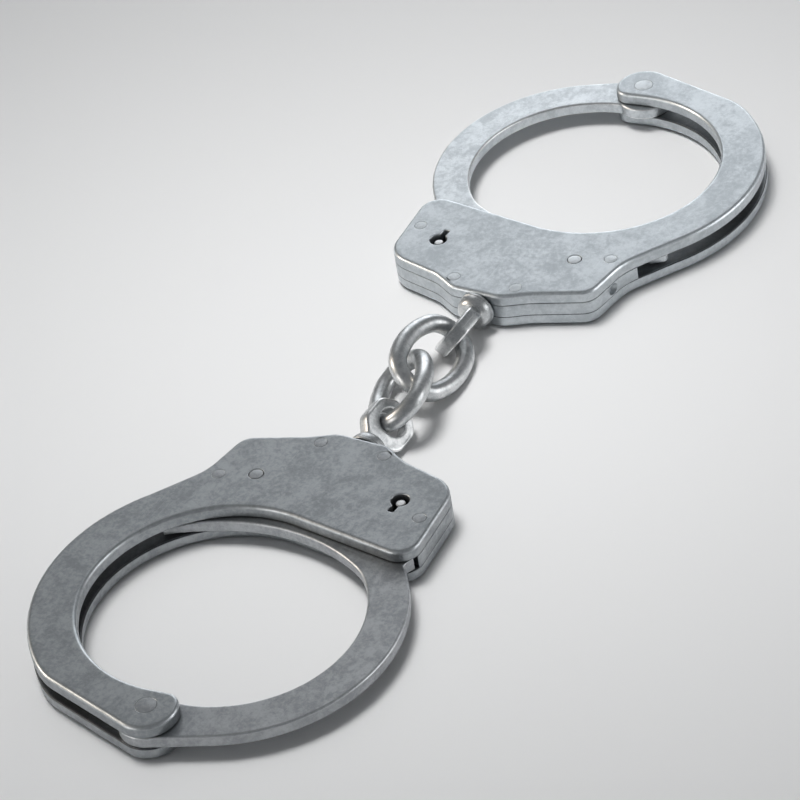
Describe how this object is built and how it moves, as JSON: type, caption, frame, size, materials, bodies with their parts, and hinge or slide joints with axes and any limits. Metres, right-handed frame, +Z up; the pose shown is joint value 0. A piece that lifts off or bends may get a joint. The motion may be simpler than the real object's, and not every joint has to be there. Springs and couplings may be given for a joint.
{
  "type": "chain handcuffs",
  "caption": "Double-lock chain handcuffs lying closed: toothed swing-through arms, riveted cheeks, pawls, swivel eyes and two links.",
  "frame": {"origin": "middle of the chain, on the surface that the handcuffs lie on", "axes": "+X along the chain from cuff a to cuff b, +Z up out of the top cheeks"},
  "size_m": [0.234, 0.0794, 0.0132],
  "materials": {
    "cuff_steel_dark": "worn, tumbled grey steel with fine scratches",
    "cuff_steel_light": "worn, tumbled grey steel, a little bluer",
    "arm_steel": "worn grey steel, brighter along its edges",
    "lock_steel": "dark inner lock steel",
    "rivet_steel": "rivets ground flush with the cheeks",
    "polished_steel": "polished forged steel of the chain",
    "spring_steel": "tempered spring strip"
  },
  "bodies": {
    "case_a": {"top_cheek_a": "cuff_steel_dark", "bottom_cheek_a": "cuff_steel_dark", "lock_frame_a": "lock_steel", "case_rivets_a": "rivet_steel", "arm_rivet_a": "rivet_steel", "pawl_rivet_a": "rivet_steel", "pawl_spring_a": "spring_steel", "key_post_a": "polished_steel"},
    "arm_a": {"ratchet_arm_a": "arm_steel"},
    "pawl_a": {"pawl_a": "lock_steel"},
    "lock_bar_a": {"lock_bar_a": "lock_steel"},
    "swivel_a": {"swivel_a": "polished_steel"},
    "link_a": {"link_a": "polished_steel"},
    "link_b": {"link_b": "polished_steel"},
    "swivel_b": {"swivel_b": "polished_steel"},
    "case_b": {"top_cheek_b": "cuff_steel_light", "bottom_cheek_b": "cuff_steel_light", "lock_frame_b": "lock_steel", "case_rivets_b": "rivet_steel", "arm_rivet_b": "rivet_steel", "pawl_rivet_b": "rivet_steel", "pawl_spring_b": "spring_steel", "key_post_b": "polished_steel"},
    "arm_b": {"ratchet_arm_b": "arm_steel"},
    "pawl_b": {"pawl_b": "lock_steel"},
    "lock_bar_b": {"lock_bar_b": "lock_steel"}
  },
  "joints": [
    {"name": "arm_a_swing", "type": "hinge", "parent": "case_a", "child": "arm_a", "pos_m": [-0.11058, -0.00214, 0.0047], "axis": [0, 0, 1], "continuous": true},
    {"name": "pawl_a_turn", "type": "hinge", "parent": "case_a", "child": "pawl_a", "pos_m": [-0.04393, 0.01415, 0.0047], "axis": [0, 0, 1], "range_deg": [-7.5, 0], "deforming": ["pawl_spring_a"]},
    {"name": "lock_bar_a_slide", "type": "slide", "parent": "case_a", "child": "lock_bar_a", "axis": [0.3584, -0.9336, 0], "range_m": [0, 0.0025]},
    {"name": "swivel_a_spin", "type": "hinge", "parent": "case_a", "child": "swivel_a", "pos_m": [-0.02625, -0.00082, 0.0047], "axis": [1, 0, 0], "continuous": true},
    {"name": "link_a_swing", "type": "hinge", "parent": "swivel_a", "child": "link_a", "pos_m": [-0.01605, -0.00082, 0.0047], "axis": [0, -0.766, 0.6428], "range_deg": [-25, 25]},
    {"name": "link_b_swing", "type": "hinge", "parent": "link_a", "child": "link_b", "pos_m": [-0.00382, -0.00338, 0.01002], "axis": [0.8814, 0.4567, -0.1207], "range_deg": [-9, 12]},
    {"name": "eye_b_swing", "type": "hinge", "parent": "link_b", "child": "swivel_b", "pos_m": [0.01605, 0.00082, 0.0047], "axis": [0, 0.7826, 0.6225], "range_deg": [-25, 25]},
    {"name": "swivel_b_spin", "type": "hinge", "parent": "swivel_b", "child": "case_b", "pos_m": [0.02625, 0.00082, 0.0047], "axis": [-1, 0, 0], "continuous": true},
    {"name": "arm_b_swing", "type": "hinge", "parent": "case_b", "child": "arm_b", "pos_m": [0.11058, 0.00214, 0.0047], "axis": [0, 0, 1], "continuous": true},
    {"name": "pawl_b_turn", "type": "hinge", "parent": "case_b", "child": "pawl_b", "pos_m": [0.04393, -0.01415, 0.0047], "axis": [0, 0, 1], "range_deg": [-7.5, 0], "deforming": ["pawl_spring_b"]},
    {"name": "lock_bar_b_slide", "type": "slide", "parent": "case_b", "child": "lock_bar_b", "axis": [-0.3584, 0.9336, 0], "range_m": [0, 0.0025]}
  ]
}
